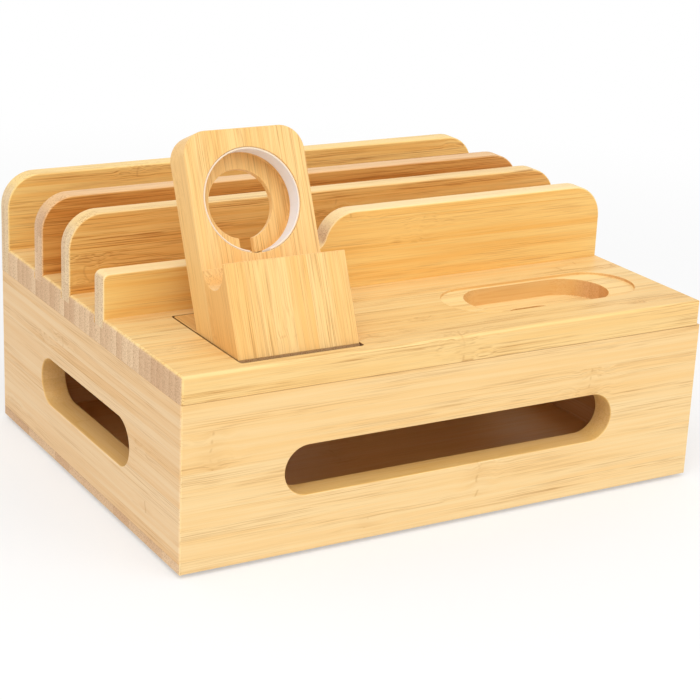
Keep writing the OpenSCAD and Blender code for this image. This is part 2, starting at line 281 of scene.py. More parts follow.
class Board:
    """How one board was cut: its grain, its lamination and its tones."""

    def __init__(self, node, grain, across, tones, **cut):
        self.node = node
        self.grain = grain
        self.across = across
        self.through = grain.cross(across)
        self.pale, self.honey = tones
        self.seed = cut.get("seed", 1)
        self.first_strip, self.strip = self.pitch(across, cut.get("strips", 4))
        self.first_layer, self.layer = self.pitch(self.through, cut.get("layers", 1))
        self.streaks = cut.get("streaks", 1.0)
        self.fibre = cut.get("fibre")
        self.swing = cut.get("swing", 0.55)
        # Colour of faces turned across the strips: partly side grain, partly painted highlight and painted shade
        self.side_grain_and_light = cut.get("side_grain_and_light")
        self.even = cut.get("even", 0.35)
        self.seam = cut.get("seam")
        # cuts are boxes whose walls get a tint: painted shade, mixed with milled wood on the recess and slot walls
        self.cuts = cut.get("cuts", ())
        self.ends = cut.get("ends")
        self.dots = cut.get("dots", 1.0)

    def pitch(self, axis, count):
        """Where the strips start along an axis and how wide each is, in millimetres."""
        places = [Vector(corner).dot(axis) / MM for corner in product(*zip(*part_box(self.node)))]
        start = min(places) - 0.02
        return start, (max(places) + 0.02 - start) / count


def bamboo(board):
    """Laminated bamboo as a solid pattern, so faces, edges and sawn ends agree with one another."""
    finish = bpy.context.scene.bamboo_finish
    material = bpy.data.materials.new("bamboo_" + board.node)
    s = Shader(material)
    place = s.node("ShaderNodeTexCoord", None, None, "Object")
    g = s.along(place, board.grain)
    a = s.along(place, board.across)
    b = s.along(place, board.through)

    # The glued strips, each with its own random numbers
    layers = (b - board.first_layer) / board.layer
    layer = layers.floor()
    strips = (a - board.first_strip) / board.strip + layer * 0.37
    strip = strips.floor()
    draw = s.node(
        "ShaderNodeTexWhiteNoise", {"noise_dimensions": "3D"}, {"Vector": s.vector(strip, layer, board.seed)}, "Color"
    )
    tone, shift, density = (s.node("ShaderNodeSeparateColor", None, {0: draw}, i) for i in range(3))
    across_strip = strips.fraction()
    through_layer = layers.fraction()
    edge = across_strip.smaller(1 - across_strip) * board.strip
    seam = through_layer.smaller(1 - through_layer) * board.layer
    joint = edge.step(0.26, 0.06).larger(seam.step(0.20, 0.05))

    # Culm joints: in some strips a short cross mark, with the fibres swirling round it
    period = 236.0
    culm = ((g / period + shift * 7.3).fraction() - 0.5) * period
    bow = s.noise(a / 8, b / 8, strip * 3.1) * 7 - 3.5
    from_culm = (culm + bow).size()
    marked = density.step(0.40, 0.46)
    near = from_culm.step(30.0, 0.0) * marked
    swirl = s.noise(g / 12 + shift * 9, a / 11, b / 11) - 0.5
    fa = a + swirl * near * 5
    fb = b + swirl * near * 3

    # Fibres: broad bands, long threads, fine lines and short dark pores, all drawn out along the grain
    start = shift * 41 + board.seed
    bands = s.noise(g / 170 + start, fa / 4.2, fb / 4.2, 2.0, 0.6).step(0.36, 0.66)
    threads = s.noise(g / 150 + start, fa / 0.85, fb / 0.85, 1.0, 0.5).step(0.54, 0.70)
    lines = s.noise(g / 48 + start, fa / 0.52, fb / 0.52, 1.0, 0.6).step(0.50, 0.68)
    pores = s.noise(g / 20 + start, fa / 0.42, fb / 0.42).step(0.56, 0.78)
    patches = s.noise(g / 110 + start, fa / 9, fb / 9).step(0.36, 0.66) * (1 - board.even) + board.even
    dark = (threads * 0.30 + lines * 0.60 + pores * 0.50) * patches * board.streaks

    ground = s.mix(tone * board.swing + bands * (1 - board.swing), rgba(board.pale), rgba(board.honey))
    fibre = rgba(board.fibre or finish.fibre)
    grained = s.mix(dark.smaller(0.85), ground, fibre)
    tick = from_culm.step(1.0, 0.2) * s.noise(a / 4.5, b / 4.5, strip).step(0.44, 0.60)
    halo = from_culm.step(12.0, 0.0) * bands
    crossed = s.mix((tick * 0.34 + halo * 0.16) * marked, grained, rgba(finish.culm))
    colour = s.mix(joint * 0.16, crossed, fibre)

    # Faces and edges turned across the strips get their own colour: paler on the dividers' tops and edges, partly side
    # grain and partly painted highlight, and deeper on the stand's sides, partly side grain and partly painted shade
    lengthwise = s.facing(board.grain)
    if board.side_grain_and_light:
        side_grain_and_light = s.facing(board.across).step(0.20, 0.75).larger(lengthwise.step(0.15, 0.5))
        colour = s.mix(side_grain_and_light * 0.75, colour, s.mix(dark * 0.55, rgba(board.side_grain_and_light), fibre))

    # Sawn ends show the fibre bundles as dots, closest on the side that lay under the skin
    end = lengthwise.step(0.62, 0.96)
    cells = s.node(
        "ShaderNodeTexVoronoi",
        {"feature": "F1", "voronoi_dimensions": "3D"},
        {"Vector": s.vector(g / 30, a / 0.95, b / 1.25), "Scale": 1.0, "Randomness": 0.85},
        "Distance",
    )
    skin = across_strip if board.strip < board.layer else through_layer
    dots = cells.step(0.52, 0.22) * (skin * 0.55 + 0.45) * board.dots
    flecks = s.noise(g / 40, a / 0.55, b / 0.8, 1.0, 0.6).step(0.50, 0.68)
    end_pale, end_warm = board.ends or (finish.end_pale, finish.end_warm)
    ends = s.mix(tone * 0.75 + skin * 0.25, rgba(end_pale), rgba(end_warm))
    specks = dots * 0.5 + flecks * 0.3 * board.dots + joint * 0.25
    ends = s.mix(specks.smaller(0.85), ends, rgba(finish.end_dark))
    colour = s.mix(end * 0.92, colour, ends)

    # Painted shade in the cuts: the walls of narrow gaps, the cable slot in the earbud pocket and the inside of the
    # box are painted darker, and the walls of the recess and of the slots a deeper orange, partly rougher milled wood
    # and partly painted shade
    x, y, z = (s.along(place, axis) for axis in (X, Y, Z))
    for low, high, tint, share, but_facing in board.cuts:
        middle = (low + high) / 2 / MM
        half = (high - low) / 2 / MM
        outside = ((x - middle.x).size() - half.x).larger((y - middle.y).size() - half.y)
        level = z.step(high.z / MM - 0.02, high.z / MM - 0.20) * z.step(low.z / MM + 0.05, low.z / MM + 0.30)
        cut = outside.step(0.60, 0.40) * level
        if but_facing:
            cut = cut * s.facing(but_facing).step(0.96, 0.7)
        colour = s.mix(cut * (flecks * 0.2 + 0.8) * share, colour, rgba(tint))
    if board.seam:
        # A fine dark line where the lid sits on the walls, painted shade in the seam
        shade = (z - board.seam).size().step(0.34, 0.08) * s.facing(X).step(0.9, 0.5) * s.facing(Z).step(0.96, 0.7)
        colour = s.mix(shade * 0.6, colour, rgba(finish.painted_gap_shade))

    relief = (dark * -0.4 - joint * 0.4) * (1 - end) - dots * end * 0.4
    bump = s.node("ShaderNodeBump", None, {"Strength": 0.22, "Distance": 0.0002, "Height": relief})
    rough = 0.44 + dark * 0.12 + end * 0.18
    shader = s.node(
        "ShaderNodeBsdfPrincipled",
        None,
        {"Base Color": colour, "Roughness": rough, "IOR": 1.45, "Normal": bump, "Specular IOR Level": 0.28},
    )
    s.node("ShaderNodeOutputMaterial", None, {"Surface": shader})
    return material


def plain_finish(name, colour, roughness, grit, metallic=0.0, rim=None):
    """Moulded plastic, rubber or plated steel: one colour with a fine broken surface.

    rim is an axis and a colour of painted shade for what faces along it.
    """
    material = bpy.data.materials.new(name)
    s = Shader(material)
    place = s.node("ShaderNodeTexCoord", None, None, "Object")
    x, y, z = (s.along(place, axis) for axis in (X, Y, Z))
    fine = s.noise(x * 4, y * 4, z * 4, 2.0)
    slow = s.noise(x / 6, y / 6, z / 6, 1.0)
    worn_and_rim_shade = s.mix(slow * 0.10 + fine * 0.05, rgba(colour), rgba([c * 0.72 for c in colour]))
    if rim:
        # Painted shade on the faces turned along the rim's axis
        worn_and_rim_shade = s.mix(s.facing(rim[0]).step(0.5, 0.9), worn_and_rim_shade, rgba(rim[1]))
    bump = s.node("ShaderNodeBump", None, {"Strength": grit, "Distance": 0.00008, "Height": fine})
    rough = fine * 0.10 + slow * 0.06 + roughness
    shader = s.node(
        "ShaderNodeBsdfPrincipled",
        None,
        {"Base Color": worn_and_rim_shade, "Roughness": rough, "Metallic": metallic, "Normal": bump},
    )
    s.node("ShaderNodeOutputMaterial", None, {"Surface": shader})
    return material


def edge_angle(edge):
    return edge.calc_face_angle(0.0) if len(edge.link_faces) == 2 else 0.0


def eased_copy(node, name, easing, material, body, slot):
    """A copy of a board with its flat faces joined up and the edges that easing names rounded.

    easing takes an edge's middle and direction and gives its rounding in metres.
    """
    source = frame["nodes"][node].data
    bm = bmesh.new()
    bm.from_mesh(source)
    bmesh.ops.remove_doubles(bm, verts=bm.verts, dist=2e-6)
    bmesh.ops.dissolve_limit(bm, angle_limit=math.radians(0.4), verts=bm.verts, edges=bm.edges)
    widths = {}
    sharp = math.radians(25)
    for edge in bm.edges:
        if edge_angle(edge) > sharp:
            first, second = (v.co for v in edge.verts)
            width = easing((first + second) / 2, (second - first).normalized(), edge)
            if width > 0:
                widths[edge.index] = width
    widest = max(widths.values(), default=0.0)
    mesh = bpy.data.meshes.new(name)
    bm.to_mesh(mesh)
    bm.free()
    for layer in ("custom_normal",):
        if layer in mesh.attributes:
            mesh.attributes.remove(mesh.attributes[layer])
    weights = mesh.attributes.new("bevel_weight_edge", "FLOAT", "EDGE")
    for index, width in widths.items():
        weights.data[index].value = width / widest
    obj = bpy.data.objects.new(name, mesh)
    bpy.context.scene.collection.objects.link(obj)
    if widths:
        bevel = obj.modifiers.new("rounding", "BEVEL")
        bevel.width = widest
        bevel.segments = 3
        bevel.limit_method = "WEIGHT"
        bevel.use_clamp_overlap = False
        bevel.miter_outer = "MITER_ARC"
    finish_piece(obj, material, body, slot, node)
    return obj


def settle(obj):
    """Turns an object's modifiers into its plain mesh."""
    graph = bpy.context.evaluated_depsgraph_get()
    made = bpy.data.meshes.new_from_object(obj.evaluated_get(graph), preserve_all_data_layers=True, depsgraph=graph)
    obj.modifiers.clear()
    obj.data = made
    made.name = obj.name


def finish_piece(obj, material, body, slot, *nodes):
    """Plain mesh, smooth shading with sharp creases, finish, and its place in the frame."""
    mesh = obj.data
    if not mesh.materials:
        mesh.materials.append(material)
    settle(obj)
    mesh = obj.data
    mesh.shade_smooth()
    mesh.set_sharp_from_angle(angle=math.radians(38))
    weighted = obj.modifiers.new("even", "WEIGHTED_NORMAL")
    weighted.keep_sharp = True
    weighted.weight = 100
    settle(obj)
    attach(obj, body)
    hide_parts(*nodes)


def on_slot_wall(edge, axis):
    """True where an edge is the rim of a slot bored along the axis."""
    return any(abs(face.normal.dot(axis)) > 0.99 for face in edge.link_faces) and any(
        abs(face.normal.dot(axis)) < 0.01 for face in edge.link_faces
    )


class ORGANIZER_OT_box(bpy.types.Operator):
    """Make the base board and the four mitred walls of the box"""

    bl_idname = "organizer.box"
    bl_label = "Box Boards"

    def execute(self, context):
        finish = context.scene.bamboo_finish
        edges = context.scene.edge_sizes
        front_tones = (finish.pale, finish.honey)
        # The side walls get a pinker, darker copy of the front tones: painted shade
        side_tones_and_shade = (finish.side_pale_and_shade, finish.side_honey_and_shade)
        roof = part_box("lid_panel")[0]
        wall = Vector((edges.wall, edges.wall, 0))
        low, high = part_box("base_board")
        floor = Vector((low.x, low.y, high.z - 0.5 * MM)) + wall
        # Painted shade: the inside of the box is painted darker
        cavity = (floor, Vector((high.x, high.y, roof.z + MM)) - wall, finish.inside, 0.65, None)
        walls = {
            "front_panel": (X, Y, front_tones, 4, 3, 3, 0.55),
            "rear_panel": (X, Y, front_tones, 4, 3, 11, 0.55),
            "left_panel": (Y, X, side_tones_and_shade, 14, 1, 5, 0.5),
            "right_panel": (Y, X, side_tones_and_shade, 14, 1, 17, 0.5),
        }
        for node, (grain, bore, tones, strips, layers, seed, streaks) in walls.items():
            low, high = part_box(node)
            middle = (low + high) / 2
            # The slots are milled through the middle of each wall, at one height
            slot_low = Vector((low.x, low.y, edges.slot_low)) + grain * 10 * MM
            slot_high = Vector((high.x, high.y, edges.slot_high)) - grain * 10 * MM
            # The slot walls get a deeper orange, partly milled wood and partly painted shade
            slot = (slot_low, slot_high, finish.slot_wall_and_shade, 0.75, bore)
            board = Board(
                node, grain, Z, tones, strips=strips, layers=layers, seed=seed, streaks=streaks,
                even=0.12, cuts=(slot, cavity), seam=high.z / MM if grain == X else None,
            )

            def easing(at, way, edge, low=low, high=high, bore=bore, grain=grain, middle=middle):
                if on_slot_wall(edge, bore) and abs((at - middle).z) < 0.025 and low.z + 0.01 < at.z < high.z - 0.01:
                    return edges.slot_rim
                if at.z > high.z - 1e-4 and abs(way.dot(grain)) > 0.99:
                    return edges.seam
                return 0

            material_slot = "bamboo_face" if grain == X else "bamboo_side"
            eased_copy(node, node + "_wood", easing, bamboo(board), "box", material_slot)
        board = Board("base_board", X, Y, front_tones, strips=12, layers=1, seed=23, streaks=0.5, cuts=(cavity,))
        eased_copy("base_board", "base_board_wood", lambda at, way, edge: 0, bamboo(board), "box", "bamboo_side")
        return {"FINISHED"}


class ORGANIZER_OT_lid(bpy.types.Operator):
    """Make the lid panel and the cleats under it"""

    bl_idname = "organizer.lid"
    bl_label = "Lid"

    def execute(self, context):
        finish = context.scene.bamboo_finish
        edges = context.scene.edge_sizes
        low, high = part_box("lid_panel")
        foot_low, foot_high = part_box("stand_foot")
        gap = Vector((edges.foot_gap, edges.foot_gap, 0))
        # Painted shade on the walls of the gap round the stand's foot board and of the cable slot in the floor of the
        # earbud pocket, and on the recess walls painted shade mixed with rougher milled wood
        cuts = (
            (POCKET - POCKET_HALF, POCKET + POCKET_HALF, finish.milled_and_shaded, 0.7, Z),
            (foot_low - gap, foot_high + gap, finish.painted_gap_shade, 0.95, Z),
            (EAR_SLOT - EAR_SLOT_HALF, EAR_SLOT + EAR_SLOT_HALF, finish.inside, 0.9, Z),
        )
        board = Board(
            "lid_panel", X, Y, (finish.lid_pale, finish.lid_honey), strips=33, layers=1, seed=29, streaks=0.8, cuts=cuts,
            even=0.2, seam=low.z / MM
        )

        def easing(at, way, edge):
            if at.z < low.z + 1e-4 and at.y < low.y + 0.001:
                return edges.seam
            on_top = at.z > high.z - 0.013 and abs(at.y) < 0.110 and at.y < -0.035
            if on_top and on_slot_wall(edge, Z) and abs(way.z) < 0.01:
                return edges.pocket_rim
            return 0

        eased_copy("lid_panel", "lid_panel_wood", easing, bamboo(board), "lid", "bamboo_face")
        for seed, node in enumerate(("lid_cleat_front", "lid_cleat_rear"), 31):
            low_c, high_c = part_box(node)
            # The cleats take the side walls' tones, which carry painted shade
            cleat = Board(
                node, X, Y, (finish.side_pale_and_shade, finish.side_honey_and_shade), strips=1, layers=2, seed=seed, streaks=0.6
            )
            eased_copy(
                node, node + "_wood", lambda at, way, edge, low_c=low_c: edges.arris if at.z < low_c.z + 0.0001 else 0,
                bamboo(cleat), "lid", "bamboo_side",
            )
        return {"FINISHED"}


class ORGANIZER_OT_dividers(bpy.types.Operator):
    """Make the four upright dividers"""

    bl_idname = "organizer.dividers"
    bl_label = "Dividers"

    def execute(self, context):
        finish = context.scene.bamboo_finish
        edges = context.scene.edge_sizes
        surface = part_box("lid_panel")[1].z
        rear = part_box("divider_rear")[1].y
        # Each divider was toasted to its own depth
        # The last colour of each row goes on the divider's top and edges: partly paler side grain, partly painted
        # highlight
        cuts = {
            "divider_front": (0.0, 41, 0.5, (0.97, 0.76, 0.42)),
            "divider_middle_front": (0.45, 43, 1.15, (0.95, 0.71, 0.34)),
            "divider_middle_rear": (1.0, 47, 1.4, (0.88, 0.59, 0.31)),
            "divider_rear": (0.0, 53, 0.85, (0.95, 0.70, 0.30)),
        }
        fresh = (Vector(finish.divider_pale), Vector(finish.divider_honey))
        toasted = (Vector(finish.toasted_pale), Vector(finish.toasted_honey))
        for node, (depth, seed, streaks, side_grain_and_light) in cuts.items():
            tones = tuple(light.lerp(deep, depth) for light, deep in zip(fresh, toasted))
            board = Board(
                node, X, Z, tones, strips=3, layers=2, seed=seed, streaks=streaks, side_grain_and_light=side_grain_and_light,
                fibre=finish.toasted_fibre, swing=0.35,
                ends=((0.86, 0.66, 0.41), (0.74, 0.53, 0.33)) if depth < 0.9 else None,
            )

            def easing(at, way, edge):
                above = at.z > surface + 1e-4
                behind = at.y > rear - 1e-4
                return edges.arris if (above or behind) and on_slot_wall(edge, Y) else 0

            eased_copy(node, node + "_wood", easing, bamboo(board), "lid", "bamboo_divider")
        return {"FINISHED"}


class ORGANIZER_OT_stand(bpy.types.Operator):
    """Make the foot board, back plate and front block of the watch stand"""

    bl_idname = "organizer.stand"
    bl_label = "Watch Stand"

    def execute(self, context):
        finish = context.scene.bamboo_finish
        edges = context.scene.edge_sizes
        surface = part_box("lid_panel")[1].z
        out = SEAT_OUT

        def tops(at, way, edge):
            return edges.pocket_rim if at.z > surface - 1e-4 else 0

        def plate_edges(at, way, edge):
            if at.z < surface + 1e-4:
                return 0
            inside = (at - SEAT).cross(out).length < 0.0292
            return edges.pocket_rim if inside else edges.stand

        def block_edges(at, way, edge):
            if at.z < surface + 1e-4 or abs((at - SEAT).dot(out)) < 1e-4:
                return 0
            return edges.pocket_rim if abs(way.x) > 0.99 or at.z > surface + 0.02 else edges.stand

        # The last colour of each rule goes on the stand's sides: partly side grain, partly painted shade
        rules = {
            "stand_foot": (Y, tops, 59, 6, 1, None),
            "stand_plate": (SLOPE, plate_edges, 61, 6, 2, (0.92, 0.57, 0.21)),
            "stand_block": (SLOPE, block_edges, 71, 6, 3, (0.86, 0.48, 0.155)),
        }
        low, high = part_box("stand_foot")
        for node, (grain, easing, seed, strips, layers, side_grain_and_light) in rules.items():
            board = Board(
                node, grain, X, (finish.stand_pale, finish.stand_honey), strips=strips, layers=layers,
                seed=seed, streaks=0.8, swing=0.6, side_grain_and_light=side_grain_and_light, even=0.6, dots=0.3,
                ends=((0.97, 0.74, 0.42), (0.90, 0.60, 0.28)),
                # Painted shade on the walls of the foot board, inside the gap round it
                cuts=((low, high, finish.painted_gap_shade, 0.95, Z),) if node == "stand_foot" else (),
            )
            eased_copy(node, node + "_wood", easing, bamboo(board), "watch_stand", "bamboo_face")
        return {"FINISHED"}


class NodeTree:
    """A Geometry Nodes tree with named inputs, built one node at a time."""

    def __init__(self, name, inputs):
        self.tree = bpy.data.node_groups.new(name, "GeometryNodeTree")
        face = self.tree.interface
        face.new_socket("Geometry", in_out="INPUT", socket_type="NodeSocketGeometry")
        self.ids = {}
        for label, (kind, default) in inputs.items():
            socket = face.new_socket(label, in_out="INPUT", socket_type=kind)
            socket.default_value = default
            self.ids[label] = socket.identifier
        face.new_socket("Geometry", in_out="OUTPUT", socket_type="NodeSocketGeometry")
        self.source = self.tree.nodes.new("NodeGroupInput")

    def input(self, label):
        return self.source.outputs[label]

    def node(self, kind, settings=None, sockets=None, out=0):
        node = self.tree.nodes.new(kind)
        for key, value in (settings or {}).items():
            setattr(node, key, value)
        for key, value in (sockets or {}).items():
            if isinstance(value, bpy.types.NodeSocket):
                self.tree.links.new(value, node.inputs[key])
            else:
                node.inputs[key].default_value = value
        return node.outputs[out]

    def maths(self, operation, first, second):
        return self.node("ShaderNodeMath", {"operation": operation}, {0: first, 1: second})

    def finish(self, geometry, material):
        real = self.node("GeometryNodeRealizeInstances", None, {0: geometry})
        dressed = self.node("GeometryNodeSetMaterial", None, {"Geometry": real, "Material": material})
        self.node_out = self.tree.nodes.new("NodeGroupOutput")
        self.tree.links.new(dressed, self.node_out.inputs[0])


def grow(name, mesh, tree, material):
    """An object whose mesh is what the tree makes of it."""
    obj = bpy.data.objects.new(name, mesh)
    bpy.context.scene.collection.objects.link(obj)
    modifier = obj.modifiers.new(tree.tree.name, "NODES")
    modifier.node_group = tree.tree
    settle(obj)
    if not obj.data.materials:
        obj.data.materials.append(material)
    return obj


def points_mesh(name, places):
    mesh = bpy.data.meshes.new(name)
    mesh.from_pydata([tuple(p) for p in places], [], [])
    return mesh


class ORGANIZER_OT_liner(bpy.types.Operator):
    """Make the white split liner of the charger seat"""

    bl_idname = "organizer.liner"
    bl_label = "Seat Liner"

    def execute(self, context):
        sizes = context.scene.fitting_sizes
        # Painted shade on the liner's face turned out of the seat
        rim = (SEAT_OUT, sizes.liner_rim_shade)
        material = plain_finish("liner_white_plastic", sizes.liner_colour, 0.28, 0.05, rim=rim)
        middle = sizes.liner_radius - sizes.liner_wall / 2
        gap = math.asin(sizes.liner_gap / 2 / middle)
        tree = NodeTree(
            "split_liner",
            {
                "Radius": ("NodeSocketFloat", middle),
                "Wall": ("NodeSocketFloat", sizes.liner_wall),
                "Depth": ("NodeSocketFloat", sizes.liner_depth),
                "Sweep": ("NodeSocketFloat", 2 * math.pi - 2 * gap),
                "Start": ("NodeSocketFloat", gap - math.pi / 2),
            },
        )
        arc = tree.node(
            "GeometryNodeCurveArc",
            {"mode": "RADIUS"},
            {"Resolution": 128, "Radius": tree.input("Radius"), "Start Angle": tree.input("Start"), "Sweep Angle": tree.input("Sweep")},
        )
        section = tree.node(
            "GeometryNodeCurvePrimitiveQuadrilateral",
            {"mode": "RECTANGLE"},
            {"Width": tree.input("Wall"), "Height": tree.input("Depth")},
        )
        rounded = tree.node(
            "GeometryNodeFilletCurve",
            {"mode": "POLY"},
            {"Curve": section, "Radius": tree.maths("MULTIPLY", tree.input("Wall"), 0.42), "Count": 4, "Limit Radius": True},
        )
        swept = tree.node("GeometryNodeCurveToMesh", None, {"Curve": arc, "Profile Curve": rounded, "Fill Caps": True})
        tree.finish(swept, material)
        obj = grow("liner_ring_plastic", points_mesh("liner_start", [(0, 0, 0)]), tree, material)
        # The ring's own Z becomes the way out of the seat, and its gap faces down the slope
        right = X
        up = SEAT_OUT.cross(right)
        turn = Matrix((right, up, SEAT_OUT)).transposed().to_4x4()
        at = SEAT - SEAT_OUT * (sizes.liner_depth / 2 + sizes.liner_sink)
        obj.data.transform(Matrix.Translation(at) @ turn)
        finish_piece(obj, material, "watch_stand", "white_plastic", "liner_ring")
        return {"FINISHED"}


def lathe(name, profile, turns):
    """A closed solid of revolution about Z from (radius, height) points that start and end on the axis."""
    bm = bmesh.new()
    verts = [bm.verts.new((radius, 0, height)) for radius, height in profile]
    for first, second in zip(verts, verts[1:]):
        bm.edges.new((first, second))
    bmesh.ops.spin(bm, geom=bm.verts[:] + bm.edges[:], cent=(0, 0, 0), axis=(0, 0, 1), angle=2 * math.pi, steps=turns)
    bmesh.ops.remove_doubles(bm, verts=bm.verts, dist=1e-6)
    bmesh.ops.recalc_face_normals(bm, faces=bm.faces)
    mesh = bpy.data.meshes.new(name)
    bm.to_mesh(mesh)
    bm.free()
    return mesh


class ORGANIZER_OT_screws(bpy.types.Operator):
    """Make the wood screws of the base board and of the watch stand"""

    bl_idname = "organizer.screws"
    bl_label = "Wood Screws"

    def execute(self, context):
        sizes = context.scene.fitting_sizes
        material = plain_finish("screw_zinc_steel", sizes.steel, 0.30, 0.10, 1.0)
        low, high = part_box("base_board")
        inset = 7.5 * MM
        quarter_x = (high.x - low.x) / 4
        quarter_y = (high.y - low.y) / 4
        base = [
            (side * quarter_x, end * (high.y - inset), low.z) for side in (-1, 1) for end in (-1, 1)
        ] + [(end * (high.x - inset), side * quarter_y, low.z) for side in (-1, 1) for end in (-1, 1)]
        stand_low, stand_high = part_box("stand_screws")
        reach = sizes.head / 2
        stand = [
            (x, y, stand_low.z)
            for x in (stand_low.x + reach, stand_high.x - reach)
            for y in (stand_low.y + reach, stand_high.y - reach)
        ]
        for name, body, places, length, node in (
            ("base_screw_set", "box", base, 22 * MM, "base_screws"),
            ("stand_screw_set", "watch_stand", stand, 25 * MM, "stand_screws"),
        ):
            tree = screw_tree(name, sizes, length, material)
            obj = grow(name, points_mesh(name + "_places", places), tree, material)
            finish_piece(obj, material, body, "screw_steel", node)
        return {"FINISHED"}


def screw_tree(name, sizes, length, material):
    """Countersunk wood screws with a cross recess and a thread, one at each point of the mesh."""
    tree = NodeTree(
        name + "_tree",
        {
            "Head": ("NodeSocketFloat", sizes.head),
            "Shank": ("NodeSocketFloat", sizes.shank),
            "Length": ("NodeSocketFloat", length),
            "Turns": ("NodeSocketFloat", length / (1.5 * MM) * 0.62),
        },
    )
    head_r = tree.maths("MULTIPLY", tree.input("Head"), 0.5)
    core_r = tree.maths("MULTIPLY", tree.input("Shank"), 0.36)
    cone_h = tree.maths("SUBTRACT", head_r, core_r)
    cone = tree.node(
        "GeometryNodeMeshCone",
        {"fill_type": "NGON"},
        {"Vertices": 32, "Side Segments": 2, "Fill Segments": 1, "Radius Top": core_r, "Radius Bottom": head_r, "Depth": cone_h},
        "Mesh",
    )
    cutter_a = tree.node("GeometryNodeMeshCube", None, {"Size": (0.0042, 0.0008, 0.0030)})
    cutter_b = tree.node("GeometryNodeMeshCube", None, {"Size": (0.0008, 0.0042, 0.0030)})
    head = tree.node("GeometryNodeMeshBoolean", {"operation": "DIFFERENCE"}, {"Mesh 1": cone, "Mesh 2": cutter_a})
    tree.tree.links.new(cutter_b, head.node.inputs["Mesh 2"])
    body_length = tree.maths("MULTIPLY", tree.input("Length"), 0.86)
    rod = tree.node(
        "GeometryNodeMeshCylinder", None, {"Vertices": 24, "Radius": core_r, "Depth": body_length}, "Mesh"
    )
    rod_at = tree.node("ShaderNodeCombineXYZ", None, {2: tree.maths("ADD", tree.maths("MULTIPLY", body_length, 0.5), 0.0012)})
    rod_up = tree.node("GeometryNodeTransform", None, {"Geometry": rod, "Translation": rod_at})
    tip = tree.node(
        "GeometryNodeMeshCone",
        None,
        {"Vertices": 24, "Radius Top": 0.0002, "Radius Bottom": core_r, "Depth": tree.maths("MULTIPLY", tree.input("Length"), 0.09)},
        "Mesh",
    )
    tip_at = tree.node("ShaderNodeCombineXYZ", None, {2: tree.maths("ADD", body_length, 0.0012)})
    tip_up = tree.node("GeometryNodeTransform", None, {"Geometry": tip, "Translation": tip_at})
    thread_r = tree.maths("MULTIPLY", tree.input("Shank"), 0.44)
    helix = tree.node(
        "GeometryNodeCurveSpiral",
        None,
        {
            "Resolution": 28,
            "Rotations": tree.input("Turns"),
            "Start Radius": thread_r,
            "End Radius": thread_r,
            "Height": tree.maths("MULTIPLY", tree.input("Length"), 0.60),
        },
    )
    ridge = tree.node("GeometryNodeCurvePrimitiveCircle", {"mode": "RADIUS"}, {"Resolution": 4, "Radius": 0.00028})
    thread = tree.node("GeometryNodeCurveToMesh", None, {"Curve": helix, "Profile Curve": ridge, "Fill Caps": True})
    thread_at = tree.node("ShaderNodeCombineXYZ", None, {2: tree.maths("MULTIPLY", tree.input("Length"), 0.26)})
    thread_up = tree.node("GeometryNodeTransform", None, {"Geometry": thread, "Translation": thread_at})
    whole = tree.node("GeometryNodeJoinGeometry", None, {0: head})
    for part in (rod_up, tip_up, thread_up):
        tree.tree.links.new(part, whole.node.inputs[0])
    placed = tree.node("GeometryNodeInstanceOnPoints", None, {"Points": tree.input("Geometry"), "Instance": whole})
    tree.finish(placed, material)
    return tree


class ORGANIZER_OT_feet(bpy.types.Operator):
    """Make the four rubber feet"""

    bl_idname = "organizer.feet"
    bl_label = "Rubber Feet"

    def execute(self, context):
        sizes = context.scene.fitting_sizes
        material = plain_finish("foot_black_rubber", sizes.rubber, 0.62, 0.5)
        radius = sizes.foot / 2
        height = sizes.foot_height
        ease = 0.0005
        profile = [(0, 0.00025), (radius * 0.55, 0.00022), (radius * 0.70, 0.0)]
        for step in range(5):
            angle = math.pi / 2 * step / 4
            profile.append((radius - ease + ease * math.sin(angle), ease - ease * math.cos(angle)))
        profile += [(radius, height), (0, height)]
        puck = bpy.data.objects.new("foot_puck", lathe("foot_puck", profile, 48))
        nodes = [n for n in frame["nodes"] if n.startswith("foot_")]
        places = []
        for node in sorted(nodes):
            low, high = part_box(node)
            places.append(((low.x + high.x) / 2, (low.y + high.y) / 2, low.z))
        tree = NodeTree("foot_set_tree", {"Puck": ("NodeSocketObject", puck)})
        shape = tree.node("GeometryNodeObjectInfo", {"transform_space": "ORIGINAL"}, {"Object": tree.input("Puck")}, "Geometry")
        placed = tree.node("GeometryNodeInstanceOnPoints", None, {"Points": tree.input("Geometry"), "Instance": shape})
        tree.finish(placed, material)
        obj = grow("rubber_feet", points_mesh("foot_places", places), tree, material)
        bpy.data.objects.remove(puck)
        finish_piece(obj, material, "box", "rubber", *sorted(nodes))
        return {"FINISHED"}


def camera_rays(s):
    """1 for rays that see the background: from the camera, in gloss and through glass."""
    path = s.node("ShaderNodeLightPath").socket.node
    seen = [Value(s, path.outputs[n]) for n in ("Is Camera Ray", "Is Glossy Ray", "Is Transmission Ray")]
    return seen[0].larger(seen[1]).larger(seen[2])


